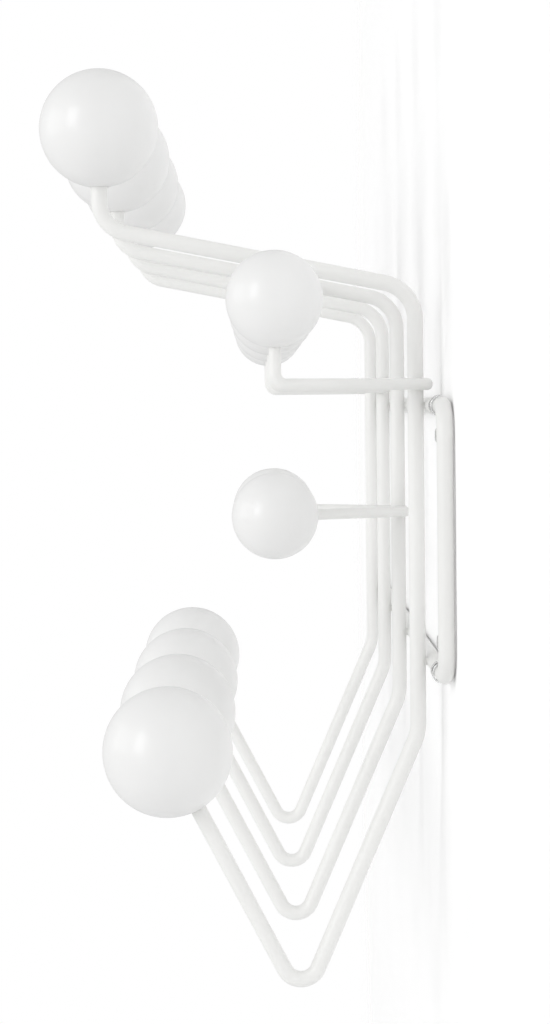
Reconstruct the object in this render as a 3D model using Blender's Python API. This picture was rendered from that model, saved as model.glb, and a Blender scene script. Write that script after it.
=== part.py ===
"""Wall coat rack of bent steel wire and lacquered balls.

Frame: +X along the rack's width, -Y out into the room, +Z up. The origin lies on the wall plane, midway
between the four wall clips. All lengths are metres.
"""

from math import acos, ceil, cos, pi, radians, sin, sqrt, tan

import bmesh
import bpy
from mathutils import Vector

# Wires
MAIN_WIRE = 0.0065
THIN_WIRE = 0.0048
WELD_GAP = 0.0003
MAIN_SIDES = 12
THIN_SIDES = 10
ARC_STEP = radians(12)

# Uprights: four equal wires, one pitch apart
UPRIGHT_COUNT = 4
PITCH = 0.132
WALL_TO_UPRIGHT = 0.0104

# Side shape of an upright, as (distance out from the upright's axis, height, bend radius)
TOP_BALL_OUT = 0.1267
TOP_BALL_HEIGHT = 0.1643
STUB_CORNER = (TOP_BALL_OUT, 0.1241, 0.0130)
SHOULDER_CORNER = (0.0, 0.0986, 0.0150)
WAIST_CORNER = (0.0, -0.0799, 0.0200)
HOOK_CORNER = (0.0474, -0.1889, 0.0075)
BOTTOM_BALL_OUT = 0.1011
BOTTOM_BALL_HEIGHT = -0.0871

# Balls
TOP_BALL = 0.0480
MIDDLE_BALL = 0.0381
BOTTOM_BALL = 0.0526
MAIN_BORE_DEPTH = 0.0160
THIN_BORE_DEPTH = 0.0130
BALL_SEGMENTS = 20
BALL_ROWS = 10

# Wall ring: two rails behind the uprights and two side legs half a pitch beyond the outer uprights
RING_HALF_WIDTH = UPRIGHT_COUNT * PITCH / 2
RAIL_SPACING = 0.103
RING_CORNER = 0.0120
RAIL_Y = -WALL_TO_UPRIGHT + MAIN_WIRE + WELD_GAP

# Upper middle hooks: one thin wire beside each upright, bent up into its ball
HOOK_HEIGHT = 0.0601
HOOK_REACH = 0.0568
HOOK_BEND = 0.0048
HOOK_BALL_RISE = 0.0334
OUTER_SPLAY = radians(27)
OUTER_TAIL = 0.0040
INNER_SPLAY = radians(23)
INNER_TAIL = 0.0045

# Lower prongs: a splayed pair of straight thin wires on one inner upright
PRONG_UPRIGHT = 2
PRONG_HEIGHT = 0.0034
PRONG_REACH = 0.0563
PRONG_SPLAY = radians(29.5)
PRONG_TAIL = 0.0018

# Wall clips: clear hooks over the rails, each with one screw in its foot
CLIP_X = 0.2380
CLIP_WIDTH = 0.0090
CLIP_WALL = 0.0006
CLIP_FOOT = 0.0180
CLIP_FOOT_THICK = 0.0030
CLIP_ARC_STEPS = 10
SCREW_OFFSET = 0.0115
SCREW_HOLE = 0.0040
SCREW_SHANK = 0.0033
SCREW_HEAD = 0.0064
SCREW_HEAD_HEIGHT = 0.0022
SCREW_CROWN = 0.0038
SCREW_DOME = 0.0014
SCREW_SIDES = 12

WHITE_WIRE = ("white_powder_coat", (0.80, 0.80, 0.78), 0.42, 0.0)
WHITE_BALL = ("white_lacquer", (0.83, 0.83, 0.82), 0.30, 0.0)
CLEAR_CLIP = ("clear_plastic", (0.86, 0.88, 0.88), 0.15, 0.0)
ZINC_SCREW = ("zinc_steel", (0.62, 0.62, 0.60), 0.35, 1.0)


def clear_scene():
    """Remove every object of the open file."""
    for existing in list(bpy.data.objects):
        bpy.data.objects.remove(existing, do_unlink=True)


def finish_material(finish):
    """Return the Principled material for a (name, colour, roughness, metallic) finish."""
    name, colour, roughness, metallic = finish
    material = bpy.data.materials.get(name)
    if material is None:
        material = bpy.data.materials.new(name)
        material.use_nodes = True
        shader = material.node_tree.nodes["Principled BSDF"]
        shader.inputs["Base Color"].default_value = (*colour, 1.0)
        shader.inputs["Roughness"].default_value = roughness
        shader.inputs["Metallic"].default_value = metallic
    return material


def add_object(name, data, location, parent, rotation=None):
    """Link one named object with its data, place and parent."""
    item = bpy.data.objects.new(name, data)
    item.location = location
    if rotation is not None:
        item.rotation_mode = "QUATERNION"
        item.rotation_quaternion = rotation
    item.parent = parent
    bpy.context.collection.objects.link(item)
    return item


def fillet(before, corner, after, radius):
    """Return the points of an arc of the given radius that rounds one corner of a path."""
    into = (corner - before).normalized()
    out = (after - corner).normalized()
    turn = acos(max(-1.0, min(1.0, into.dot(out))))
    start = corner - into * radius * tan(turn / 2)
    inward = (out - into * into.dot(out)).normalized()
    centre = start + inward * radius
    steps = max(2, ceil(turn / ARC_STEP))
    angles = [turn * step / steps for step in range(steps + 1)]
    return [centre - inward * radius * cos(a) + into * radius * sin(a) for a in angles]


def bent_path(points, radii):
    """Return a path through the points with each inner corner rounded to its radius."""
    path = [points[0]]
    for before, corner, after, radius in zip(points, points[1:], points[2:], radii):
        path += fillet(before, corner, after, radius)
    return path + [points[-1]]


def wire_curve(name, path, diameter, sides, finish, cyclic=False):
    """Return a round wire along a path as a bevelled curve with filled ends."""
    curve = bpy.data.curves.new(name, "CURVE")
    curve.dimensions = "3D"
    curve.bevel_depth = diameter / 2
    curve.bevel_resolution = sides // 2 - 2
    curve.use_fill_caps = not cyclic
    spline = curve.splines.new("POLY")
    spline.points.add(len(path) - 1)
    for knot, point in zip(spline.points, path):
        knot.co = (*point, 1.0)
    spline.use_cyclic_u = cyclic
    spline.use_smooth = True
    curve.materials.append(finish_material(finish))
    return curve


def close_mesh(name, shape, finish):
    """Turn a finished bmesh into smooth-shaded mesh data with its material."""
    bmesh.ops.recalc_face_normals(shape, faces=shape.faces)
    mesh = bpy.data.meshes.new(name)
    shape.to_mesh(mesh)
    shape.free()
    mesh.materials.append(finish_material(finish))
    mesh.shade_smooth()
    mesh.set_sharp_from_angle(angle=radians(40))
    return mesh


def turned_mesh(name, profile, segments, finish):
    """Spin a profile of (radius, height) pairs around Z into one closed body."""
    shape = bmesh.new()
    knots = [shape.verts.new((radius, 0.0, height)) for radius, height in profile]
    edges = [shape.edges.new(pair) for pair in zip(knots, knots[1:])]
    bmesh.ops.spin(
        shape,
        geom=knots + edges,
        axis=(0, 0, 1),
        cent=(0, 0, 0),
        angle=2 * pi,
        steps=segments,
        use_merge=True,
    )
    bmesh.ops.remove_doubles(shape, verts=shape.verts, dist=0.00001)
    return close_mesh(name, shape, finish)


def ball_mesh(name, diameter, wire, depth):
    """Return a ball with a blind bore in its underside for the wire's end."""
    radius = diameter / 2
    bore = wire / 2 + WELD_GAP
    rim = pi - acos(sqrt(radius**2 - bore**2) / radius)
    outside = [
        (radius * sin(rim * row / BALL_ROWS), radius * cos(rim * row / BALL_ROWS))
        for row in range(BALL_ROWS + 1)
    ]
    floor = -radius + depth + WELD_GAP
    return turned_mesh(name, outside + [(bore, floor), (0.0, floor)], BALL_SEGMENTS, WHITE_BALL)


def ball_turn(stem):
    """Return the rotation that points a ball's bore against the wire's direction into it."""
    return Vector((0, 0, 1)).rotation_difference(stem)


def upright_x(index):
    """Return the X of an upright, counted from the rack's -X end."""
    return (index - (UPRIGHT_COUNT - 1) / 2) * PITCH


def side_point(out, height):
    """Return a point in an upright's own plane, out towards the room."""
    return Vector((0.0, -out, height))


def add_uprights(rack):
    """Add the four main wires with their top and bottom balls."""
    corners = (STUB_CORNER, SHOULDER_CORNER, WAIST_CORNER, HOOK_CORNER)
    top_centre = side_point(TOP_BALL_OUT, TOP_BALL_HEIGHT)
    low_centre = side_point(BOTTOM_BALL_OUT, BOTTOM_BALL_HEIGHT)
    low_stem = (low_centre - side_point(*HOOK_CORNER[:2])).normalized()
    points = [top_centre - Vector((0, 0, TOP_BALL / 2 - MAIN_BORE_DEPTH))]
    points += [side_point(out, height) for out, height, _ in corners]
    points += [low_centre - low_stem * (BOTTOM_BALL / 2 - MAIN_BORE_DEPTH)]
    path = bent_path(points, [radius for _, _, radius in corners])
    wire = wire_curve("upright", path, MAIN_WIRE, MAIN_SIDES, WHITE_WIRE)
    top_ball = ball_mesh("top_ball", TOP_BALL, MAIN_WIRE, MAIN_BORE_DEPTH)
    low_ball = ball_mesh("bottom_ball", BOTTOM_BALL, MAIN_WIRE, MAIN_BORE_DEPTH)
    for index in range(UPRIGHT_COUNT):
        foot = Vector((upright_x(index), -WALL_TO_UPRIGHT, 0.0))
        number = index + 1
        add_object(f"upright_wire_{number}", wire, foot, rack)
        add_object(f"top_ball_{number}", top_ball, foot + top_centre, rack)
        add_object(f"bottom_ball_{number}", low_ball, foot + low_centre, rack, ball_turn(low_stem))


def add_wall_ring(rack):
    """Add the closed flat ring: two straight rails, two side legs and four round corners."""
    corners = [
        Vector((side * RING_HALF_WIDTH, RAIL_Y, level * RAIL_SPACING / 2))
        for side, level in ((-1, 1), (1, 1), (1, -1), (-1, -1))
    ]
    path = []
    for index, corner in enumerate(corners):
        before, after = corners[index - 1], corners[(index + 1) % len(corners)]
        path += fillet(before, corner, after, RING_CORNER)
    ring = wire_curve("wall_ring", path, MAIN_WIRE, MAIN_SIDES, WHITE_WIRE, cyclic=True)
    add_object("wall_ring", ring, (0, 0, 0), rack)


def beside_upright(axis_x, weld_side, splay_side, splay, reach, tail):
    """Return where a thin wire beside an upright starts and where it has reached the given distance out.

    The wire runs level past the upright at a weld's gap on weld_side (+1 or -1 along X), turned by the
    splay angle towards splay_side, with a tail behind its nearest point to the upright.
    """
    run = Vector((splay_side * sin(splay), -cos(splay), 0.0))
    normal = Vector((run.y, -run.x, 0.0))
    if normal.x * weld_side < 0:
        normal = -normal
    nearest = Vector((axis_x, -WALL_TO_UPRIGHT, 0.0)) + normal * (MAIN_WIRE / 2 + THIN_WIRE / 2 + WELD_GAP)
    length = (reach + WALL_TO_UPRIGHT + nearest.y) / cos(splay)
    return nearest - run * tail, nearest + run * length, run


def add_upper_hooks(rack):
    """Add the four upper middle hooks, outer pair outboard and inner pair inboard of their uprights."""
    ball = ball_mesh("upper_ball", MIDDLE_BALL, THIN_WIRE, THIN_BORE_DEPTH)
    level = Vector((0, 0, HOOK_HEIGHT))
    rise = Vector((0, 0, HOOK_BALL_RISE))
    for index in range(UPRIGHT_COUNT):
        outward = 1 if index >= UPRIGHT_COUNT / 2 else -1
        outer = index in (0, UPRIGHT_COUNT - 1)
        weld_side = outward if outer else -outward
        splay = OUTER_SPLAY if outer else INNER_SPLAY
        tail = OUTER_TAIL if outer else INNER_TAIL
        start, corner, _ = beside_upright(upright_x(index), weld_side, outward, splay, HOOK_REACH, tail)
        centre = corner + level + rise
        end = centre - Vector((0, 0, MIDDLE_BALL / 2 - THIN_BORE_DEPTH))
        path = bent_path([start + level, corner + level, end], [HOOK_BEND])
        name = f"hook_wire_{index + 1}"
        add_object(name, wire_curve(name, path, THIN_WIRE, THIN_SIDES, WHITE_WIRE), (0, 0, 0), rack)
        add_object(f"upper_ball_{index + 1}", ball, centre, rack)


def add_lower_prongs(rack):
    """Add the splayed pair of straight prongs with their balls on one inner upright."""
    ball = ball_mesh("lower_ball", MIDDLE_BALL, THIN_WIRE, THIN_BORE_DEPTH)
    level = Vector((0, 0, PRONG_HEIGHT))
    for side, label in ((-1, "left"), (1, "right")):
        start, centre, run = beside_upright(
            upright_x(PRONG_UPRIGHT), side, side, PRONG_SPLAY, PRONG_REACH, PRONG_TAIL
        )
        end = centre - run * (MIDDLE_BALL / 2 - THIN_BORE_DEPTH)
        name = f"prong_wire_{label}"
        wire = wire_curve(name, [start + level, end + level], THIN_WIRE, THIN_SIDES, WHITE_WIRE)
        add_object(name, wire, (0, 0, 0), rack)
        add_object(f"lower_ball_{label}", ball, centre + level, rack, ball_turn(run))


def clip_outline():
    """Return a clip's side outline as (Y, height above its rail): a hook over the rail and a foot."""
    inner = MAIN_WIRE / 2 + WELD_GAP
    outer = inner + CLIP_WALL
    angles = [pi / 2 + pi * step / CLIP_ARC_STEPS for step in range(CLIP_ARC_STEPS + 1)]
    outline = [(RAIL_Y + inner * cos(a), inner * sin(a)) for a in angles]
    outline += [(0.0, -inner), (0.0, -CLIP_FOOT), (-CLIP_FOOT_THICK, -CLIP_FOOT), (-CLIP_FOOT_THICK, -outer)]
    outline += [(RAIL_Y + outer * cos(a), outer * sin(a)) for a in reversed(angles)]
    return outline


def clip_mesh():
    """Return the clip: its outline given a width along X."""
    shape = bmesh.new()
    face = shape.faces.new([shape.verts.new((-CLIP_WIDTH / 2, y, z)) for y, z in clip_outline()])
    side = bmesh.ops.extrude_face_region(shape, geom=[face])
    moved = [item for item in side["geom"] if isinstance(item, bmesh.types.BMVert)]
    bmesh.ops.translate(shape, verts=moved, vec=(CLIP_WIDTH, 0, 0))
    return close_mesh("wall_clip", shape, CLEAR_CLIP)


def screw_cutter(name, parent):
    """Return a hidden cylinder that drills the screw hole through a clip's foot."""
    shape = bmesh.new()
    bmesh.ops.create_cone(
        shape,
        cap_ends=True,
        segments=SCREW_SIDES,
        radius1=SCREW_HOLE / 2,
        radius2=SCREW_HOLE / 2,
        depth=4 * CLIP_FOOT_THICK,
    )
    place = (0.0, -CLIP_FOOT_THICK / 2, -SCREW_OFFSET)
    turn = Vector((0, 0, 1)).rotation_difference(Vector((0, -1, 0)))
    cutter = add_object(name, close_mesh(name, shape, CLEAR_CLIP), place, parent, turn)
    cutter.hide_render = True
    cutter.display_type = "WIRE"
    return cutter


def screw_mesh():
    """Return a clip screw along +Z: a pan head above the foot and a shank down to the wall plane."""
    head_face = CLIP_FOOT_THICK + WELD_GAP
    crown = head_face + SCREW_HEAD_HEIGHT
    profile = [
        (0.0, crown),
        (SCREW_CROWN / 2, crown),
        (SCREW_HEAD / 2, crown - SCREW_DOME),
        (SCREW_HEAD / 2, head_face),
        (SCREW_SHANK / 2, head_face),
        (SCREW_SHANK / 2, WELD_GAP),
        (0.0, WELD_GAP),
    ]
    return turned_mesh("clip_screw", profile, SCREW_SIDES, ZINC_SCREW)


def add_wall_clips(rack):
    """Add a clip near each end of both rails, feet towards the ring's middle, each with its screw."""
    clip_shape = clip_mesh()
    screw_shape = screw_mesh()
    out_of_wall = Vector((0, 0, 1)).rotation_difference(Vector((0, -1, 0)))
    clip_places = [(side, level) for level in (1, -1) for side in (-1, 1)]
    for number, (side, level) in enumerate(clip_places, start=1):
        place = Vector((side * CLIP_X, 0.0, level * RAIL_SPACING / 2))
        clip = add_object(f"wall_clip_{number}", clip_shape, place, rack)
        clip.rotation_euler.y = 0.0 if level > 0 else pi
        drill = clip.modifiers.new("screw_hole", "BOOLEAN")
        drill.solver = "EXACT"
        drill.object = screw_cutter(f"clip_drill_{number}", clip)
        screw_place = place - Vector((0, 0, level * SCREW_OFFSET))
        add_object(f"clip_screw_{number}", screw_shape, screw_place, rack, out_of_wall)


def main():
    """Build the whole rack under one empty."""
    clear_scene()
    rack = bpy.data.objects.new("coat_rack", None)
    bpy.context.collection.objects.link(rack)
    add_uprights(rack)
    add_wall_ring(rack)
    add_upper_hooks(rack)
    add_lower_prongs(rack)
    add_wall_clips(rack)


main()
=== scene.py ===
"""Finished looks of a wall coat rack: bent steel wires, lacquered balls, a wall ring and its clips.

Frame: +X along the rack's width, -Y out into the room, +Z up, origin on the wall plane. Metres.
"""

import logging
from dataclasses import dataclass, field
from enum import Enum
from math import acos, cos, pi, radians, sin, sqrt, tan

import bmesh
import bpy
from mathutils import Matrix, Vector


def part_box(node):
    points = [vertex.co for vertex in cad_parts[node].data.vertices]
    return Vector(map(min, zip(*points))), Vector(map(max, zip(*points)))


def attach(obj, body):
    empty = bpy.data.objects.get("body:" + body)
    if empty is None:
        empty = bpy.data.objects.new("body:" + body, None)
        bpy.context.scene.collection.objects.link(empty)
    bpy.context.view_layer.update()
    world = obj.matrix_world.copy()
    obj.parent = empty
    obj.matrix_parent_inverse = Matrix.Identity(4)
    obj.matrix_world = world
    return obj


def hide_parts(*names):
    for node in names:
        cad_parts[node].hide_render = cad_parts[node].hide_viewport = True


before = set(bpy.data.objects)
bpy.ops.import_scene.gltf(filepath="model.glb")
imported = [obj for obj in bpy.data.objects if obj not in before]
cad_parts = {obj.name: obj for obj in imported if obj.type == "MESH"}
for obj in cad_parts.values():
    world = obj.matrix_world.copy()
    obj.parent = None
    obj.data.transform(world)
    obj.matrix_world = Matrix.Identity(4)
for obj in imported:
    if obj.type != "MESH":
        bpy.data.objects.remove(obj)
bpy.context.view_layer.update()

LOG = logging.getLogger("coat_rack")
BODY = "root"
UP = Vector((0, 0, 1))
ALONG = Vector((1, 0, 0))
ROOM = Vector((0, -1, 0))
INTO_WALL = Vector((0, 1, 0))
MERGE = 1e-6
SMOOTH_ANGLE = radians(38)
HAZE_SCALE = 160.0
GRIT_PER_PEEL = 2.6
GRIT_SHARE = 0.25
TIP_SEGMENTS = 6
BEVEL_PROFILE = 0.5


class End(Enum):
    """Which way something points along the rack's width."""

    LEFT = -1
    RIGHT = 1


class Level(Enum):
    """Which of the ring's two rails something belongs to."""

    TOP = 1
    BOTTOM = -1


class Tip(Enum):
    """How far a wire's cut end is rounded over, as a share of its radius."""

    HIDDEN = 0.2
    ROUNDED = 0.85


@dataclass(frozen=True)
class WireStock:
    """One size of round steel wire."""

    diameter: float
    sides: int = 40

    @property
    def radius(self) -> float:
        """Half the wire's diameter."""
        return self.diameter / 2


MAIN_WIRE = WireStock(0.0065)
THIN_WIRE = WireStock(0.0048)
WELD_GAP = 0.0003
WALL_TO_UPRIGHT = 0.0104
RAIL_Y = -WALL_TO_UPRIGHT + MAIN_WIRE.diameter + WELD_GAP
RAIL_SPACING = 0.103


# ---------------------------------------------------------------- drawing tools


class Outline:
    """Draws an outline edge by edge: straight strokes are extruded and round ones are spun."""

    def __init__(self, shape: bmesh.types.BMesh, start: Vector) -> None:
        """Put the pen down.

        Args:
            shape: The bmesh that receives the outline.
            start: The first point.
        """
        self.shape = shape
        self.first = shape.verts.new(start)
        self.tip = self.first

    def stroke(self, move: Vector) -> None:
        """Draw a straight line from the tip by the given move."""
        made = bmesh.ops.extrude_vert_indiv(self.shape, verts=[self.tip])
        self.tip = made["verts"][0]
        bmesh.ops.translate(self.shape, verts=[self.tip], vec=move)

    def stroke_to(self, point: Vector) -> None:
        """Draw a straight line from the tip to a point."""
        self.stroke(Vector(point) - self.tip.co)

    def sweep(self, centre: Vector, axis: Vector, angle: float, steps: int) -> None:
        """Draw an arc from the tip.

        Args:
            centre: The arc's centre.
            axis: The axis that the pen turns about.
            angle: The angle it turns through, right-handed.
            steps: How many edges the arc has.
        """
        made = bmesh.ops.spin(
            self.shape, geom=[self.tip], cent=centre, axis=axis, angle=angle, steps=steps,
            use_merge=False, use_duplicate=False,
        )
        self.tip = next(item for item in made["geom_last"] if isinstance(item, bmesh.types.BMVert))

    def turn(self, segments: int) -> None:
        """Spin the whole outline round Z into a closed body."""
        bmesh.ops.spin(
            self.shape, geom=self.shape.verts[:] + self.shape.edges[:], cent=(0, 0, 0), axis=UP,
            angle=2 * pi, steps=segments, use_merge=True, use_duplicate=False,
        )
        bmesh.ops.remove_doubles(self.shape, verts=self.shape.verts, dist=MERGE)

    def thicken(self, move: Vector) -> None:
        """Close the outline, fill it and extrude the face by the given move."""
        bmesh.ops.remove_doubles(self.shape, verts=self.shape.verts, dist=MERGE)
        bmesh.ops.contextual_create(self.shape, geom=self.shape.edges[:])
        made = bmesh.ops.extrude_face_region(self.shape, geom=self.shape.faces[:])
        moved = [item for item in made["geom"] if isinstance(item, bmesh.types.BMVert)]
        bmesh.ops.translate(self.shape, verts=moved, vec=move)


class Bender:
    """Bends round wire: a ring of edges is pushed along straight runs and spun round the corners."""

    ARC_STEP = radians(4)

    def __init__(self, stock: WireStock, start: Vector, heading: Vector) -> None:
        """Clamp the wire.

        Args:
            stock: The wire to bend.
            start: The centre of its first end.
            heading: The unit direction in which it leaves the clamp.
        """
        self.stock = stock
        self.shape = bmesh.new()
        self.centre = Vector(start)
        self.heading = Vector(heading)
        turn = UP.rotation_difference(self.heading).to_matrix().to_4x4()
        made = bmesh.ops.create_circle(
            self.shape, cap_ends=False, segments=stock.sides, radius=stock.radius,
            matrix=Matrix.Translation(start) @ turn,
        )
        self.verts = made["verts"]
        self.edges = self.shape.edges[:]
        self.first_edges = self.edges

    def _take(self, items: list) -> None:
        """Keep the newest ring of vertices and edges."""
        self.verts = [item for item in items if isinstance(item, bmesh.types.BMVert)]
        kept = set(self.verts)
        self.edges = [
            item for item in items
            if isinstance(item, bmesh.types.BMEdge) and kept.issuperset(item.verts)
        ]

    def push(self, length: float) -> None:
        """Feed a straight run of the given length."""
        made = bmesh.ops.extrude_edge_only(self.shape, edges=self.edges)
        self._take(made["geom"])
        self.drift(self.heading * length)

    def drift(self, move: Vector) -> None:
        """Move the newest ring without turning it."""
        bmesh.ops.translate(self.shape, verts=self.verts, vec=move)
        self.centre += move

    def bend(self, heading: Vector, radius: float) -> None:
        """Bend the wire to a new heading.

        Args:
            heading: The unit direction in which the wire leaves the bend.
            radius: The bend's radius at the wire's axis.
        """
        angle = acos(max(-1.0, min(1.0, self.heading.dot(heading))))
        axis = self.heading.cross(heading).normalized()
        pivot = self.centre + axis.cross(self.heading) * radius
        steps = max(2, round(angle / self.ARC_STEP))
        for _ in range(steps):
            made = bmesh.ops.spin(
                self.shape, geom=self.verts + self.edges, cent=pivot, axis=axis, angle=angle / steps,
                steps=1, use_merge=False, use_duplicate=False,
            )
            self._take(made["geom_last"])
            self.centre = pivot + Matrix.Rotation(angle / steps, 3, axis) @ (self.centre - pivot)
        self.heading = Vector(heading)

    def follow(self, points: list[Vector], radii: list[float]) -> None:
        """Bend the wire through the corners of a path that starts at the clamp.

        Args:
            points: The path's points, its start first.
            radii: The bend radius at each inner point.
        """
        used = 0.0
        for before, corner, after, radius in zip(points, points[1:], points[2:], radii):
            heading = (after - corner).normalized()
            turn = acos(max(-1.0, min(1.0, self.heading.dot(heading))))
            tangent = radius * tan(turn / 2)
            self.push((corner - before).length - used - tangent)
            self.bend(heading, radius)
            used = tangent
        self.push((points[-1] - points[-2]).length - used)

    def cap(self, first: Tip, last: Tip) -> bmesh.types.BMesh:
        """Close both ends and round them over.

        Args:
            first: How the clamped end is rounded.
            last: How the free end is rounded.

        Returns:
            The finished bmesh.
        """
        for edges, tip in ((self.first_edges, first), (self.edges, last)):
            bmesh.ops.edgeloop_fill(self.shape, edges=edges)
            bmesh.ops.bevel(
                self.shape, geom=edges, offset=self.stock.radius * tip.value, segments=TIP_SEGMENTS,
                profile=BEVEL_PROFILE, affect="EDGES", material=-1, clamp_overlap=True,
            )
        return self.shape


# ---------------------------------------------------------------- finishes


class Sheet:
    """Lays out the nodes of one tree."""

    def __init__(self, tree: bpy.types.NodeTree) -> None:
        """Take an empty or new node tree."""
        self.tree = tree

    def add(self, kind: str, values: dict | None = None, **settings: object) -> bpy.types.Node:
        """Add one node.

        Args:
            kind: The node's type name without its ShaderNode prefix.
            values: Socket values by socket name or index.
            settings: Properties of the node itself.

        Returns:
            The node.
        """
        node = self.tree.nodes.new(kind if kind.startswith("Node") else f"ShaderNode{kind}")
        for name, value in settings.items():
            setattr(node, name, value)
        for socket, value in (values or {}).items():
            node.inputs[socket].default_value = value
        return node

    def link(self, source: bpy.types.NodeSocket, target: bpy.types.NodeSocket) -> None:
        """Join two sockets."""
        self.tree.links.new(source, target)


def new_group(name: str, inputs: dict[str, tuple[str, object]], outputs: dict[str, str]) -> Sheet:
    """Start a shader node group with named sockets.

    Args:
        name: The group's name.
        inputs: Socket kind and starting value by input name.
        outputs: Socket kind by output name.

    Returns:
        The sheet to lay the group's nodes on, with its group_in and group_out nodes.
    """
    tree = bpy.data.node_groups.new(name, "ShaderNodeTree")
    for label, (kind, value) in inputs.items():
        socket = tree.interface.new_socket(label, in_out="INPUT", socket_type=f"NodeSocket{kind}")
        socket.default_value = value
    for label, kind in outputs.items():
        tree.interface.new_socket(label, in_out="OUTPUT", socket_type=f"NodeSocket{kind}")
    sheet = Sheet(tree)
    sheet.group_in = sheet.add("NodeGroupInput")
    sheet.group_out = sheet.add("NodeGroupOutput")
    return sheet


def sprayed_film_group() -> bpy.types.NodeTree:
    """Return the group that clouds a sprayed film's colour and gloss and gives its orange peel.

    Returns:
        The group, with Colour, Roughness and Height outputs.
    """
    known = bpy.data.node_groups.get("sprayed_film")
    if known:
        return known
    sheet = new_group(
        "sprayed_film",
        {
            "Colour": ("Color", (0.8, 0.8, 0.8, 1.0)),
            "Cloud Scale": ("Float", 40.0),
            "Cloud Depth": ("Float", 0.03),
            "Roughness": ("Float", 0.35),
            "Roughness Spread": ("Float", 0.08),
            "Peel Scale": ("Float", 700.0),
        },
        {"Colour": "Color", "Roughness": "Float", "Height": "Float"},
    )
    knobs, result = sheet.group_in.outputs, sheet.group_out.inputs
    place = sheet.add("TexCoord").outputs["Object"]
    cloud = sheet.add("TexNoise", {"Detail": 3.0, "Roughness": 0.55})
    sheet.link(place, cloud.inputs["Vector"])
    sheet.link(knobs["Cloud Scale"], cloud.inputs["Scale"])
    shade = sheet.add("Math", {2: 1.0}, operation="MULTIPLY_ADD")
    negative = sheet.add("Math", {1: -1.0}, operation="MULTIPLY")
    sheet.link(knobs["Cloud Depth"], negative.inputs[0])
    sheet.link(cloud.outputs["Fac"], shade.inputs[0])
    sheet.link(negative.outputs[0], shade.inputs[1])
    tint = sheet.add("HueSaturation")
    sheet.link(knobs["Colour"], tint.inputs["Color"])
    sheet.link(shade.outputs[0], tint.inputs["Value"])
    sheet.link(tint.outputs["Color"], result["Colour"])
    haze = sheet.add("TexNoise", {"Detail": 4.0, "Scale": HAZE_SCALE})
    sheet.link(place, haze.inputs["Vector"])
    centred = sheet.add("Math", {1: 0.5}, operation="SUBTRACT")
    sheet.link(haze.outputs["Fac"], centred.inputs[0])
    gloss = sheet.add("Math", operation="MULTIPLY_ADD")
    sheet.link(centred.outputs[0], gloss.inputs[0])
    sheet.link(knobs["Roughness Spread"], gloss.inputs[1])
    sheet.link(knobs["Roughness"], gloss.inputs[2])
    sheet.link(gloss.outputs[0], result["Roughness"])
    peel = sheet.add("TexNoise", {"Detail": 1.5, "Roughness": 0.4})
    sheet.link(place, peel.inputs["Vector"])
    sheet.link(knobs["Peel Scale"], peel.inputs["Scale"])
    grit = sheet.add("TexVoronoi", {"Randomness": 1.0}, feature="SMOOTH_F1")
    finer = sheet.add("Math", {1: GRIT_PER_PEEL}, operation="MULTIPLY")
    sheet.link(knobs["Peel Scale"], finer.inputs[0])
    sheet.link(place, grit.inputs["Vector"])
    sheet.link(finer.outputs[0], grit.inputs["Scale"])
    height = sheet.add("Math", {1: GRIT_SHARE}, operation="MULTIPLY_ADD")
    sheet.link(grit.outputs["Distance"], height.inputs[0])
    sheet.link(peel.outputs["Fac"], height.inputs[2])
    sheet.link(height.outputs[0], result["Height"])
    return sheet.tree


def fine_scratch_group() -> bpy.types.NodeTree:
    """Return the group that puts fine handling scratches on plastic and metal.

    Returns:
        The group, with Roughness and Height outputs.
    """
    known = bpy.data.node_groups.get("fine_scratch")
    if known:
        return known
    sheet = new_group(
        "fine_scratch",
        {
            "Scale": ("Float", 500.0),
            "Roughness": ("Float", 0.2),
            "Roughness Spread": ("Float", 0.1),
        },
        {"Roughness": "Float", "Height": "Float"},
    )
    knobs, result = sheet.group_in.outputs, sheet.group_out.inputs
    place = sheet.add("TexCoord").outputs["Object"]
    stretch = sheet.add("Mapping", {"Rotation": (0.3, 0.5, 0.9), "Scale": (1.0, 7.0, 1.0)})
    sheet.link(place, stretch.inputs["Vector"])
    lines = sheet.add("TexNoise", {"Detail": 5.0, "Roughness": 0.7, "Distortion": 0.6})
    sheet.link(stretch.outputs["Vector"], lines.inputs["Vector"])
    sheet.link(knobs["Scale"], lines.inputs["Scale"])
    gloss = sheet.add("Math", operation="MULTIPLY_ADD")
    sheet.link(lines.outputs["Fac"], gloss.inputs[0])
    sheet.link(knobs["Roughness Spread"], gloss.inputs[1])
    sheet.link(knobs["Roughness"], gloss.inputs[2])
    sheet.link(gloss.outputs[0], result["Roughness"])
    sheet.link(lines.outputs["Fac"], result["Height"])
    return sheet.tree


def new_material(name: str) -> tuple[bpy.types.Material, Sheet, bpy.types.Node]:
    """Start a material.

    Args:
        name: The material's name.

    Returns:
        The material, the sheet for its nodes and its Principled shader.
    """
    material = bpy.data.materials.new(name)
    material.use_nodes = True
    return material, Sheet(material.node_tree), material.node_tree.nodes["Principled BSDF"]


def add_bump(sheet: Sheet, height: bpy.types.NodeSocket, shader: bpy.types.Node, depth: float) -> None:
    """Feed a height into a shader's normal.

    Args:
        sheet: The material's sheet.
        height: The height, from 0 to about 1.
        shader: The Principled shader.
        depth: The relief's depth in metres.
    """
    bump = sheet.add("Bump", {"Strength": 1.0, "Distance": depth})
    sheet.link(height, bump.inputs["Height"])
    sheet.link(bump.outputs["Normal"], shader.inputs["Normal"])


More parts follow.
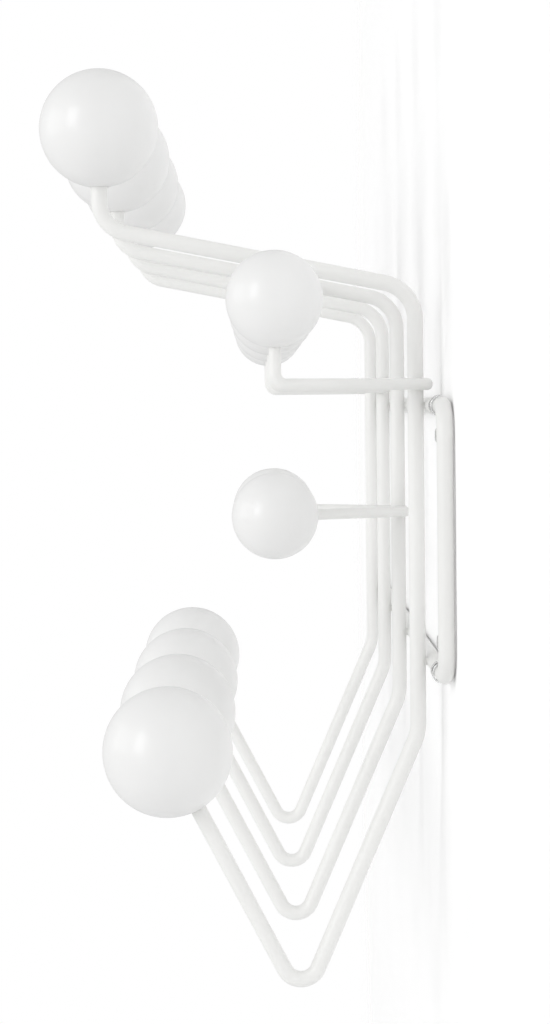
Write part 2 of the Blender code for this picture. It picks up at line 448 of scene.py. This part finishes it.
@dataclass(frozen=True)
class FilmFinish:
    """A sprayed opaque finish: powder coat on wire, or lacquer on a turned ball."""

    name: str
    colour: tuple[float, float, float]
    roughness: float
    roughness_spread: float
    cloud_scale: float
    cloud_depth: float
    peel_scale: float
    peel_depth: float
    coat: float = 0.0
    coat_roughness: float = 0.1

    def material(self) -> bpy.types.Material:
        """Return the finish's material, made on first use."""
        known = bpy.data.materials.get(self.name)
        if known:
            return known
        material, sheet, shader = new_material(self.name)
        film = sheet.add("Group")
        film.node_tree = sprayed_film_group()
        film.inputs["Colour"].default_value = (*self.colour, 1.0)
        film.inputs["Cloud Scale"].default_value = self.cloud_scale
        film.inputs["Cloud Depth"].default_value = self.cloud_depth
        film.inputs["Roughness"].default_value = self.roughness
        film.inputs["Roughness Spread"].default_value = self.roughness_spread
        film.inputs["Peel Scale"].default_value = self.peel_scale
        sheet.link(film.outputs["Colour"], shader.inputs["Base Color"])
        sheet.link(film.outputs["Roughness"], shader.inputs["Roughness"])
        shader.inputs["Coat Weight"].default_value = self.coat
        shader.inputs["Coat Roughness"].default_value = self.coat_roughness
        add_bump(sheet, film.outputs["Height"], shader, self.peel_depth)
        return material


@dataclass(frozen=True)
class ScratchedFinish:
    """A finish with fine handling scratches: clear moulded plastic, or plated steel."""

    name: str
    colour: tuple[float, float, float]
    roughness: float
    roughness_spread: float
    scratch_scale: float
    scratch_depth: float
    metallic: float = 0.0
    transmission: float = 0.0
    ior: float = 1.49

    def material(self) -> bpy.types.Material:
        """Return the finish's material, made on first use."""
        known = bpy.data.materials.get(self.name)
        if known:
            return known
        material, sheet, shader = new_material(self.name)
        scratch = sheet.add("Group")
        scratch.node_tree = fine_scratch_group()
        scratch.inputs["Scale"].default_value = self.scratch_scale
        scratch.inputs["Roughness"].default_value = self.roughness
        scratch.inputs["Roughness Spread"].default_value = self.roughness_spread
        sheet.link(scratch.outputs["Roughness"], shader.inputs["Roughness"])
        shader.inputs["Base Color"].default_value = (*self.colour, 1.0)
        shader.inputs["Metallic"].default_value = self.metallic
        shader.inputs["Transmission Weight"].default_value = self.transmission
        shader.inputs["IOR"].default_value = self.ior
        add_bump(sheet, scratch.outputs["Height"], shader, self.scratch_depth)
        return material


POWDER_COAT = FilmFinish(
    "white_powder_coat", (0.825, 0.825, 0.81), roughness=0.34, roughness_spread=0.10,
    cloud_scale=45.0, cloud_depth=0.03, peel_scale=620.0, peel_depth=0.00006,
)
# A darker copy of the white powder coat. This is painted shade on the wall ring; the ring's real paint
# is the same as the other wires'.
SHADED_RING_COAT = FilmFinish(
    "shaded_white_ring_coat", (0.78, 0.78, 0.765), roughness=0.38, roughness_spread=0.10,
    cloud_scale=45.0, cloud_depth=0.03, peel_scale=620.0, peel_depth=0.00006,
)
BALL_LACQUER = FilmFinish(
    "white_ball_lacquer", (0.81, 0.81, 0.805), roughness=0.36, roughness_spread=0.08,
    cloud_scale=28.0, cloud_depth=0.02, peel_scale=260.0, peel_depth=0.00005,
    coat=0.35, coat_roughness=0.16,
)
CLEAR_PLASTIC = ScratchedFinish(
    "clear_moulded_plastic", (0.96, 0.97, 0.97), roughness=0.04, roughness_spread=0.08,
    scratch_scale=420.0, scratch_depth=0.00002, transmission=1.0,
)
ZINC_PLATE = ScratchedFinish(
    "zinc_plated_steel", (0.66, 0.66, 0.65), roughness=0.18, roughness_spread=0.22,
    scratch_scale=900.0, scratch_depth=0.00002, metallic=1.0,
)


# ---------------------------------------------------------------- putting pieces in place


def finish_mesh(name: str, shape: bmesh.types.BMesh, place: Matrix | None = None) -> bpy.types.Object:
    """Turn a finished bmesh into a linked, smooth-shaded object at the origin.

    Args:
        name: The object's name.
        shape: The bmesh, which is freed.
        place: Where the mesh goes; none leaves it where it was drawn.

    Returns:
        The object.
    """
    bmesh.ops.recalc_face_normals(shape, faces=shape.faces)
    mesh = bpy.data.meshes.new(name)
    shape.to_mesh(mesh)
    shape.free()
    if place is not None:
        mesh.transform(place)
    mesh.shade_smooth()
    mesh.set_sharp_from_angle(angle=SMOOTH_ANGLE)
    item = bpy.data.objects.new(name, mesh)
    bpy.context.collection.objects.link(item)
    return item


def dress(
    item: bpy.types.Object, finish: FilmFinish | ScratchedFinish, slot: str, *nodes: str
) -> bpy.types.Object:
    """Give a piece its finish and hang it on the rack's body.

    Args:
        item: The piece.
        finish: Its finish.
        slot: Not used.
        nodes: The CAD nodes that it stands for.

    Returns:
        The piece.
    """
    item.data.materials.clear()
    item.data.materials.append(finish.material())
    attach(item, BODY)
    if nodes:
        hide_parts(*nodes)
    LOG.info("%s: %d faces", item.name, len(item.data.polygons))
    return item


def carve(item: bpy.types.Object, cutters: list[bpy.types.Object]) -> None:
    """Cut other objects out of a piece for good.

    Args:
        item: The piece, whose mesh is replaced.
        cutters: The objects to cut with, which are removed.
    """
    for cutter in cutters:
        cut = item.modifiers.new("cut", "BOOLEAN")
        cut.operation = "DIFFERENCE"
        cut.solver = "EXACT"
        cut.object = cutter
    graph = bpy.context.evaluated_depsgraph_get()
    carved = bpy.data.meshes.new_from_object(item.evaluated_get(graph))
    item.modifiers.clear()
    item.data = carved
    carved.shade_smooth()
    carved.set_sharp_from_angle(angle=SMOOTH_ANGLE)
    for cutter in cutters:
        bpy.data.objects.remove(cutter)


def upright_x(number: int) -> float:
    """Return the X of an upright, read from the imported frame."""
    low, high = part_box(f"upright_wire_{number}")
    return (low.x + high.x) / 2


def side_point(out: float, height: float) -> Vector:
    """Return a point in the plane of an upright, that far out from the upright's axis."""
    return Vector((0.0, -out, height))


# ---------------------------------------------------------------- balls and welds


@dataclass(frozen=True)
class TurnedBall:
    """A turned ball with a blind bore, its mouth broken by a small chamfer."""

    diameter: float
    wire: WireStock
    bore_depth: float
    mouth_chamfer: float = 0.0005
    rows: int = 72
    segments: int = 96

    def shape(self) -> bmesh.types.BMesh:
        """Turn the ball about Z with its bore underneath.

        Returns:
            The finished bmesh, centred on the origin.
        """
        radius = self.diameter / 2
        bore = self.wire.radius + WELD_GAP
        mouth = bore + self.mouth_chamfer
        rim_height = -sqrt(radius**2 - mouth**2)
        shape = bmesh.new()
        pen = Outline(shape, Vector((0, 0, radius)))
        pen.sweep(Vector((0, 0, 0)), INTO_WALL, acos(rim_height / radius), self.rows)
        pen.stroke(Vector((-self.mouth_chamfer, 0, self.mouth_chamfer)))
        pen.stroke_to(Vector((bore, 0, -radius + self.bore_depth + WELD_GAP)))
        pen.stroke(Vector((-bore, 0, bore / 2)))
        pen.turn(self.segments)
        return shape

    def place(self, centre: Vector, stem: Vector) -> Matrix:
        """Return the placing that puts the ball on a wire.

        Args:
            centre: Where its centre goes.
            stem: The unit direction in which the wire enters the ball.

        Returns:
            The placing, as a matrix.
        """
        return Matrix.Translation(centre) @ UP.rotation_difference(stem).to_matrix().to_4x4()

    def make(self, name: str, centre: Vector, stem: Vector, slot: str, node: str) -> bpy.types.Object:
        """Make, finish and place one ball.

        Args:
            name: The piece's name.
            centre: Where its centre goes.
            stem: The unit direction in which the wire enters the ball.
            slot: Its material slot.
            node: The CAD node that it stands for.

        Returns:
            The ball.
        """
        item = finish_mesh(name, self.shape(), self.place(centre, stem))
        return dress(item, BALL_LACQUER, slot, node)


@dataclass(frozen=True)
class WeldFillet:
    """The coated weld where two wires cross: a waisted collar that fills the crevice between them."""

    waist: float = 0.0015
    flare: float = 0.0011
    segments: int = 24
    arc_steps: int = 8

    def make(self, name: str, centre: Vector, across: Vector, slot: str) -> bpy.types.Object:
        """Make one weld.

        Args:
            name: The piece's name.
            centre: The point midway between the two wires' surfaces.
            across: The unit direction from one wire's axis to the other's.
            slot: Its material slot.

        Returns:
            The weld.
        """
        shape = bmesh.new()
        pen = Outline(shape, Vector((0, 0, self.flare)))
        pen.stroke(Vector((self.waist + self.flare, 0, 0)))
        pen.sweep(Vector((self.waist + self.flare, 0, 0)), INTO_WALL, -pi, 2 * self.arc_steps)
        pen.stroke(Vector((-self.waist - self.flare, 0, 0)))
        pen.turn(self.segments)
        turn = UP.rotation_difference(across).to_matrix().to_4x4()
        item = finish_mesh(name, shape, Matrix.Translation(centre) @ turn)
        return dress(item, POWDER_COAT, slot)


# ---------------------------------------------------------------- sub-assemblies


@dataclass
class Uprights:
    """The four bent main wires, each with a top ball and a bottom ball."""

    count: int = 4
    stub_corner: tuple[float, float, float] = (0.1267, 0.1241, 0.0130)
    shoulder_corner: tuple[float, float, float] = (0.0, 0.0986, 0.0150)
    waist_corner: tuple[float, float, float] = (0.0, -0.0799, 0.0200)
    hook_corner: tuple[float, float, float] = (0.0474, -0.1889, 0.0075)
    top_centre: Vector = field(default_factory=lambda: side_point(0.1267, 0.1643))
    low_centre: Vector = field(default_factory=lambda: side_point(0.1011, -0.0871))
    top_ball: TurnedBall = TurnedBall(0.0480, MAIN_WIRE, 0.0160)
    low_ball: TurnedBall = TurnedBall(0.0526, MAIN_WIRE, 0.0160)

    def _wire(self, foot: Vector) -> bmesh.types.BMesh:
        """Bend one upright from its top ball down to its bottom ball."""
        corners = (self.stub_corner, self.shoulder_corner, self.waist_corner, self.hook_corner)
        low_stem = (self.low_centre - side_point(*self.hook_corner[:2])).normalized()
        top_reach = self.top_ball.diameter / 2 - self.top_ball.bore_depth
        low_reach = self.low_ball.diameter / 2 - self.low_ball.bore_depth
        points = [self.top_centre - UP * top_reach]
        points += [side_point(out, height) for out, height, _ in corners]
        points += [self.low_centre - low_stem * low_reach]
        points = [foot + point for point in points]
        bender = Bender(MAIN_WIRE, points[0], -UP)
        bender.follow(points, [radius for _, _, radius in corners])
        return bender.cap(Tip.HIDDEN, Tip.HIDDEN)

    def build(self) -> None:
        """Make every upright with its two balls."""
        low_stem = (self.low_centre - side_point(*self.hook_corner[:2])).normalized()
        for number in range(1, self.count + 1):
            foot = Vector((upright_x(number), -WALL_TO_UPRIGHT, 0.0))
            wire = finish_mesh(f"bent_upright_{number}", self._wire(foot))
            dress(wire, POWDER_COAT, "main_wire", f"upright_wire_{number}")
            self.top_ball.make(
                f"turned_top_ball_{number}", foot + self.top_centre, UP, "top_balls",
                f"top_ball_{number}",
            )
            self.low_ball.make(
                f"turned_bottom_ball_{number}", foot + self.low_centre, low_stem, "bottom_balls",
                f"bottom_ball_{number}",
            )


@dataclass
class WallRing:
    """The closed wall ring with its rails welded behind the uprights."""

    corner: float = 0.0120
    uprights: int = 4
    weld: WeldFillet = WeldFillet()

    def build(self) -> None:
        """Bend the ring, close it and weld its rails to the uprights."""
        half = self.uprights * (upright_x(2) - upright_x(1)) / 2
        rise = RAIL_SPACING - 2 * self.corner
        run = 2 * (half - self.corner)
        start = Vector((-half + self.corner, RAIL_Y, RAIL_SPACING / 2))
        bender = Bender(MAIN_WIRE, start, ALONG)
        for heading, length in ((-UP, run), (-ALONG, rise), (UP, run), (ALONG, rise)):
            bender.push(length)
            bender.bend(heading, self.corner)
        bmesh.ops.remove_doubles(bender.shape, verts=bender.shape.verts, dist=10 * MERGE)
        ring = finish_mesh("bent_wall_ring", bender.shape)
        # The ring takes the darker copy of the powder coat, which is painted shade.
        dress(ring, SHADED_RING_COAT, "ring_wire", "wall_ring")
        for level in Level:
            for number in range(1, self.uprights + 1):
                touch = Vector((
                    upright_x(number),
                    (RAIL_Y - WALL_TO_UPRIGHT) / 2,
                    level.value * RAIL_SPACING / 2,
                ))
                self.weld.make(f"{level.name.lower()}_rail_weld_{number}", touch, ROOM, "ring_wire")


@dataclass
class SideWire:
    """A thin level wire welded beside an upright and splayed outwards."""

    weld_side: int
    splay_side: int
    splay: float
    reach: float
    tail: float

    @property
    def run(self) -> Vector:
        """The unit direction in which the wire runs out into the room."""
        return Vector((self.splay_side * sin(self.splay), -cos(self.splay), 0.0))

    @property
    def normal(self) -> Vector:
        """The unit direction from the upright's axis to the wire's, square to both."""
        side = Vector((self.run.y, -self.run.x, 0.0))
        return side if side.x * self.weld_side > 0 else -side

    def path(self, axis: Vector) -> tuple[Vector, Vector]:
        """Find where the wire starts and where it has reached its distance out.

        Args:
            axis: A point on the upright's axis at the wire's height.

        Returns:
            The wire's first point, and the point at its full reach.
        """
        nearest = axis + self.normal * (MAIN_WIRE.radius + THIN_WIRE.radius + WELD_GAP)
        length = (self.reach + nearest.y - axis.y) / cos(self.splay)
        return nearest - self.run * self.tail, nearest + self.run * length

    def touch(self, axis: Vector) -> Vector:
        """Return the point midway between the surfaces of the upright and the wire."""
        return axis + self.normal * (MAIN_WIRE.radius + WELD_GAP / 2)


@dataclass
class UpperHooks:
    """The four upper hooks: the outer pair outboard and the inner pair inboard of their uprights."""

    height: float = 0.0601
    reach: float = 0.0568
    bend: float = 0.0048
    rise: float = 0.0334
    outer_splay: float = radians(27)
    outer_tail: float = 0.0040
    inner_splay: float = radians(23)
    inner_tail: float = 0.0045
    count: int = 4
    ball: TurnedBall = TurnedBall(0.0381, THIN_WIRE, 0.0130)
    weld: WeldFillet = WeldFillet(waist=0.0012, flare=0.0009)

    def _side_wire(self, number: int) -> SideWire:
        """Return how the hook of one upright leaves it."""
        outward = End.RIGHT if number > self.count / 2 else End.LEFT
        if number in (1, self.count):
            return SideWire(
                outward.value, outward.value, self.outer_splay, self.reach, self.outer_tail
            )
        return SideWire(-outward.value, outward.value, self.inner_splay, self.reach, self.inner_tail)

    def build(self) -> None:
        """Make every hook with its ball and weld."""
        for number in range(1, self.count + 1):
            side_wire = self._side_wire(number)
            axis = Vector((upright_x(number), -WALL_TO_UPRIGHT, self.height))
            start, corner = side_wire.path(axis)
            centre = corner + UP * self.rise
            end = centre - UP * (self.ball.diameter / 2 - self.ball.bore_depth)
            bender = Bender(THIN_WIRE, start, side_wire.run)
            bender.follow([start, corner, end], [self.bend])
            wire = finish_mesh(f"bent_hook_{number}", bender.cap(Tip.ROUNDED, Tip.HIDDEN))
            dress(wire, POWDER_COAT, "thin_wire", f"hook_wire_{number}")
            self.ball.make(
                f"turned_upper_ball_{number}", centre, UP, "middle_balls", f"upper_ball_{number}"
            )
            self.weld.make(
                f"hook_weld_{number}", side_wire.touch(axis), side_wire.normal, "thin_wire"
            )


@dataclass
class LowerProngs:
    """The splayed pair of straight prongs on one inner upright, each with a ball."""

    upright: int = 3
    height: float = 0.0034
    reach: float = 0.0563
    splay: float = radians(29.5)
    tail: float = 0.0018
    ball: TurnedBall = TurnedBall(0.0381, THIN_WIRE, 0.0130)
    weld: WeldFillet = WeldFillet(waist=0.0012, flare=0.0009)

    def build(self) -> None:
        """Make both prongs with their balls and welds."""
        axis = Vector((upright_x(self.upright), -WALL_TO_UPRIGHT, self.height))
        for end in End:
            side = end.name.lower()
            side_wire = SideWire(end.value, end.value, self.splay, self.reach, self.tail)
            start, centre = side_wire.path(axis)
            bender = Bender(THIN_WIRE, start, side_wire.run)
            stop = centre - side_wire.run * (self.ball.diameter / 2 - self.ball.bore_depth)
            bender.follow([start, stop], [])
            wire = finish_mesh(f"straight_prong_{side}", bender.cap(Tip.ROUNDED, Tip.HIDDEN))
            dress(wire, POWDER_COAT, "thin_wire", f"prong_wire_{side}")
            self.ball.make(
                f"turned_lower_ball_{side}", centre, side_wire.run, "middle_balls",
                f"lower_ball_{side}",
            )
            self.weld.make(
                f"prong_weld_{side}", side_wire.touch(axis), side_wire.normal, "thin_wire"
            )


@dataclass
class WallClips:
    """The clear clips that hook over the rails, each held by one cross-recessed screw in its foot."""

    x: float = 0.2380
    width: float = 0.0090
    wall: float = 0.0006
    foot: float = 0.0180
    foot_thick: float = 0.0030
    foot_round: float = 0.0028
    foot_segments: int = 8
    edge_round: float = 0.0002
    edge_segments: int = 2
    hook_steps: int = 24
    screw_offset: float = 0.0115
    hole: float = 0.0040
    shank: float = 0.0033
    head: float = 0.0064
    head_height: float = 0.0022
    crown: float = 0.0034
    crown_steps: int = 10
    recess_length: float = 0.0034
    recess_width: float = 0.0007
    recess_depth: float = 0.0011
    recess_taper: tuple[float, float, float] = (0.45, 0.7, 1.0)
    lean_step: float = radians(17)
    round_steps: int = 48

    def _clip(self, name: str) -> bpy.types.Object:
        """Make a clip whose rail axis passes through X = 0, Z = 0, its foot pointing down."""
        inner = MAIN_WIRE.radius + WELD_GAP
        outer = inner + self.wall
        rail = Vector((0, RAIL_Y, 0))
        side = Vector((-self.width / 2, 0, 0))
        shape = bmesh.new()
        pen = Outline(shape, side + rail + UP * outer)
        pen.stroke(-UP * self.wall)
        pen.sweep(rail, ALONG, pi, self.hook_steps)
        pen.stroke_to(side - UP * inner)
        pen.stroke_to(side - UP * self.foot)
        pen.stroke(ROOM * self.foot_thick)
        pen.stroke(UP * (self.foot - outer))
        pen.stroke_to(side + rail - UP * outer)
        pen.sweep(rail, ALONG, -pi, self.hook_steps)
        pen.thicken(ALONG * self.width)
        bmesh.ops.recalc_face_normals(shape, faces=shape.faces)
        toe_edges = [
            edge for edge in shape.edges
            if all(abs(v.co.z + self.foot) < MERGE for v in edge.verts)
            and abs(edge.verts[0].co.y - edge.verts[1].co.y) > MERGE
        ]
        bmesh.ops.bevel(
            shape, geom=toe_edges, offset=self.foot_round, segments=self.foot_segments,
            profile=BEVEL_PROFILE, affect="EDGES", material=-1, clamp_overlap=True,
        )
        sharp = [edge for edge in shape.edges if edge.calc_face_angle(0.0) > SMOOTH_ANGLE]
        bmesh.ops.bevel(
            shape, geom=sharp, offset=self.edge_round, segments=self.edge_segments,
            profile=BEVEL_PROFILE, affect="EDGES", material=-1, clamp_overlap=True,
        )
        return finish_mesh(name, shape)

    def _drill(self) -> bpy.types.Object:
        """Make the cutter of the screw hole through a clip's foot."""
        shape = bmesh.new()
        bmesh.ops.create_cone(
            shape, cap_ends=True, segments=self.round_steps, radius1=self.hole / 2,
            radius2=self.hole / 2, depth=4 * self.foot_thick,
        )
        turn = UP.rotation_difference(ROOM).to_matrix().to_4x4()
        return finish_mesh("drill", shape, Matrix.Translation(-UP * self.screw_offset) @ turn)

    def _screw(self, name: str) -> bpy.types.Object:
        """Turn a pan-head screw that stands on Z = 0, head up."""
        seat = self.foot_thick + WELD_GAP
        flat = self.crown / 2
        edge = self.head / 2 - flat
        shape = bmesh.new()
        pen = Outline(shape, Vector((0, 0, seat + self.head_height)))
        pen.stroke(ALONG * flat)
        corner = pen.tip.co - UP * edge
        pen.sweep(corner, INTO_WALL, pi / 2, self.crown_steps)
        pen.stroke_to(Vector((self.head / 2, 0, seat)))
        pen.stroke_to(Vector((self.shank / 2, 0, seat)))
        pen.stroke_to(Vector((self.shank / 2, 0, WELD_GAP)))
        pen.stroke_to(UP * WELD_GAP)
        pen.turn(self.round_steps)
        return finish_mesh(name, shape)

    def _recess_arm(self, turn: float) -> bpy.types.Object:
        """Make one tapered arm of the cutter of the cross recess."""
        shape = bmesh.new()
        bmesh.ops.create_cube(shape, size=1.0)
        size = (self.recess_length, self.recess_width, 2 * self.recess_depth)
        bmesh.ops.scale(shape, verts=shape.verts, vec=size)
        low = [vert for vert in shape.verts if vert.co.z < 0]
        bmesh.ops.scale(shape, verts=low, vec=self.recess_taper)
        top = self.foot_thick + WELD_GAP + self.head_height
        return finish_mesh("recess", shape, Matrix.Translation(UP * top) @ Matrix.Rotation(turn, 4, "Z"))

    def build(self) -> None:
        """Make the four clips and their screws."""
        places = [(level, end) for level in Level for end in End]
        for number, (level, end) in enumerate(places, start=1):
            place = Vector((end.value * self.x, 0.0, level.value * RAIL_SPACING / 2))
            flip = Matrix.Rotation(0.0 if level is Level.TOP else pi, 4, "Y")
            clip = self._clip(f"rail_clip_{number}")
            carve(clip, [self._drill()])
            clip.data.transform(Matrix.Translation(place) @ flip)
            dress(clip, CLEAR_PLASTIC, "clear_clips", f"wall_clip_{number}")
            screw = self._screw(f"cross_screw_{number}")
            lean = self.lean_step * number
            carve(screw, [self._recess_arm(lean), self._recess_arm(lean + pi / 2)])
            stand = UP.rotation_difference(ROOM).to_matrix().to_4x4()
            seat = place - UP * level.value * self.screw_offset
            screw.data.transform(Matrix.Translation(seat) @ stand)
            dress(screw, ZINC_PLATE, "clip_screws", f"clip_screw_{number}")


# ---------------------------------------------------------------- studio


@dataclass(frozen=True)
class SoftBox:
    """One rectangular studio light that faces the rack's middle."""

    name: str
    direction: tuple[float, float, float]
    distance: float
    width: float
    height: float
    radiance: float
    mirrored: bool = True

    def switch_on(self) -> None:
        """Hang the light and set its power from its radiance and size."""
        lamp = bpy.data.lights.new(self.name, "AREA")
        lamp.shape = "RECTANGLE"
        lamp.size = self.width
        lamp.size_y = self.height
        lamp.energy = self.radiance * pi * self.width * self.height
        item = bpy.data.objects.new(self.name, lamp)
        aim = Vector(self.direction).normalized()
        item.location = aim * self.distance
        item.rotation_mode = "QUATERNION"
        item.rotation_quaternion = aim.to_track_quat("Z", "Y")
        item.visible_camera = False
        item.visible_glossy = self.mirrored
        bpy.context.collection.objects.link(item)


@dataclass
class Studio:
    """Pale wall and floor, a bright room, soft boxes and the camera at the rack's side."""

    floor_height: float = -1.25
    floor_reach: float = 3.4
    wall_reach: float = 0.8
    fade_share: float = 0.40
    backdrop_segments: int = 96
    backdrop_roughness: float = 0.6
    wall_colour: float = 0.95
    wall_glow: float = 0.02
    floor_colour: float = 0.84
    floor_glow: float = 0.04
    ambient: float = 0.785
    ambient_tilt: tuple[float, float, float] = (0.12, 0.0, -0.02)
    soft_boxes: tuple[SoftBox, ...] = (
        SoftBox("key_box", (0.627, -0.722, 0.289), 4.0, 1.25, 2.25, 3.2),
        SoftBox("room_window", (0.05, -1.0, 0.22), 2.2, 1.60, 1.20, 0.75),
        SoftBox("low_front_box", (0.12, -0.97, -0.24), 2.2, 0.34, 0.34, 8.0, mirrored=False),
        SoftBox("far_side_box", (-0.62, -0.74, 0.26), 2.2, 0.34, 0.34, 7.0, mirrored=False),
    )
    camera_x: float = 1.213
    camera_out: float = 0.0643
    camera_height: float = 0.0012
    camera_roll: float = radians(0.5)
    focal_length: float = 88.6
    sensor: float = 36.0
    clip_range: tuple[float, float] = (0.01, 50.0)
    shift: tuple[float, float] = (0.0186, -0.1055)

    def _backdrop_paint(self, name: str, colour: float, glow: float, reach: float) -> bpy.types.Material:
        """Return a pale one-sided paint that fades out towards a backdrop's edge.

        Args:
            name: The material's name.
            colour: How pale the paint is.
            glow: How much light it adds of its own.
            reach: The distance from the backdrop's middle at which it is gone.

        Returns:
            The material.
        """
        material, sheet, shader = new_material(name)
        shader.inputs["Base Color"].default_value = (colour, colour, colour, 1.0)
        shader.inputs["Roughness"].default_value = self.backdrop_roughness
        shader.inputs["Emission Color"].default_value = (1.0, 1.0, 1.0, 1.0)
        shader.inputs["Emission Strength"].default_value = glow
        away = sheet.add("VectorMath", operation="LENGTH")
        sheet.link(sheet.add("TexCoord").outputs["UV"], away.inputs[0])
        ramp = {"From Min": reach * self.fade_share, "From Max": reach}
        fade = sheet.add("MapRange", ramp, interpolation_type="SMOOTHSTEP")
        sheet.link(away.outputs["Value"], fade.inputs["Value"])
        hidden = sheet.add("Math", operation="MAXIMUM")
        sheet.link(fade.outputs["Result"], hidden.inputs[0])
        sheet.link(sheet.add("NewGeometry").outputs["Backfacing"], hidden.inputs[1])
        mix = sheet.add("MixShader")
        sheet.link(hidden.outputs[0], mix.inputs["Fac"])
        sheet.link(shader.outputs["BSDF"], mix.inputs[1])
        sheet.link(sheet.add("BsdfTransparent").outputs["BSDF"], mix.inputs[2])
        out = material.node_tree.nodes["Material Output"]
        sheet.link(mix.outputs["Shader"], out.inputs["Surface"])
        return material

    def _backdrop(self, name: str, reach: float, place: Matrix, colour: float, glow: float) -> None:
        """Stage one round backdrop.

        Args:
            name: The object's name.
            reach: Its radius.
            place: Where its middle goes and which way it faces.
            colour: How pale its paint is.
            glow: How much light it adds of its own.
        """
        shape = bmesh.new()
        bmesh.ops.create_circle(shape, cap_ends=True, segments=self.backdrop_segments, radius=reach)
        plan = shape.loops.layers.uv.new("plan")
        for face in shape.faces:
            for loop in face.loops:
                loop[plan].uv = loop.vert.co.xy
        mesh = bpy.data.meshes.new(name)
        bmesh.ops.transform(shape, matrix=place, verts=shape.verts)
        shape.to_mesh(mesh)
        shape.free()
        mesh.materials.append(self._backdrop_paint(f"{name}_paint", colour, glow, reach))
        item = bpy.data.objects.new(name, mesh)
        bpy.context.collection.objects.link(item)

    def _world(self) -> None:
        """Fill the room with even light and show it white."""
        world = bpy.data.worlds.new("white_room")
        world.use_nodes = True
        sheet = Sheet(world.node_tree)
        light = world.node_tree.nodes["Background"]
        light.inputs["Color"].default_value = (1.0, 1.0, 1.0, 1.0)
        lean = sheet.add("VectorMath", operation="DOT_PRODUCT")
        lean.inputs[1].default_value = self.ambient_tilt
        sheet.link(sheet.add("TexCoord").outputs["Generated"], lean.inputs[0])
        strength = sheet.add("Math", {1: self.ambient}, operation="ADD")
        sheet.link(lean.outputs["Value"], strength.inputs[0])
        sheet.link(strength.outputs[0], light.inputs["Strength"])
        white = sheet.add("Background", {"Color": (1.0, 1.0, 1.0, 1.0), "Strength": 1.0})
        seen = sheet.add("LightPath").outputs["Is Camera Ray"]
        mix = sheet.add("MixShader")
        sheet.link(seen, mix.inputs["Fac"])
        sheet.link(light.outputs["Background"], mix.inputs[1])
        sheet.link(white.outputs["Background"], mix.inputs[2])
        sheet.link(mix.outputs["Shader"], world.node_tree.nodes["World Output"].inputs["Surface"])
        bpy.context.scene.world = world

    def _camera(self) -> None:
        """Stand the camera off the rack's +X end, level with the top rail."""
        lens = bpy.data.cameras.new("side_camera")
        lens.lens = self.focal_length
        lens.sensor_width = self.sensor
        lens.shift_x, lens.shift_y = self.shift
        lens.clip_start, lens.clip_end = self.clip_range
        item = bpy.data.objects.new("side_camera", lens)
        right = Vector((0, cos(self.camera_roll), -sin(self.camera_roll)))
        above = Vector((0, sin(self.camera_roll), cos(self.camera_roll)))
        turn = Matrix((right, above, ALONG)).transposed().to_4x4()
        place = Vector((
            self.camera_x,
            -WALL_TO_UPRIGHT - self.camera_out,
            RAIL_SPACING / 2 + self.camera_height,
        ))
        item.matrix_world = Matrix.Translation(place) @ turn
        bpy.context.collection.objects.link(item)
        bpy.context.scene.camera = item

    def build(self) -> None:
        """Set up the backdrops, the light and the camera."""
        face_room = Matrix.Rotation(pi / 2, 4, "X")
        self._backdrop(
            "wall_backdrop", self.wall_reach, face_room, self.wall_colour, self.wall_glow
        )
        lie_low = Matrix.Translation(UP * self.floor_height)
        self._backdrop(
            "studio_floor", self.floor_reach, lie_low, self.floor_colour, self.floor_glow
        )
        for box in self.soft_boxes:
            box.switch_on()
        self._world()
        self._camera()
        bpy.context.scene.view_settings.view_transform = "Standard"
        LOG.info("studio ready")


def main() -> None:
    """Build the studio and the rack's pieces in order."""
    logging.basicConfig(level=logging.INFO, format="%(name)s %(message)s")
    Studio().build()
    for assembly in (Uprights(), WallRing(), UpperHooks(), LowerProngs(), WallClips()):
        assembly.build()
        LOG.info("%s done", type(assembly).__name__)


if __name__ == "__main__":
    main()
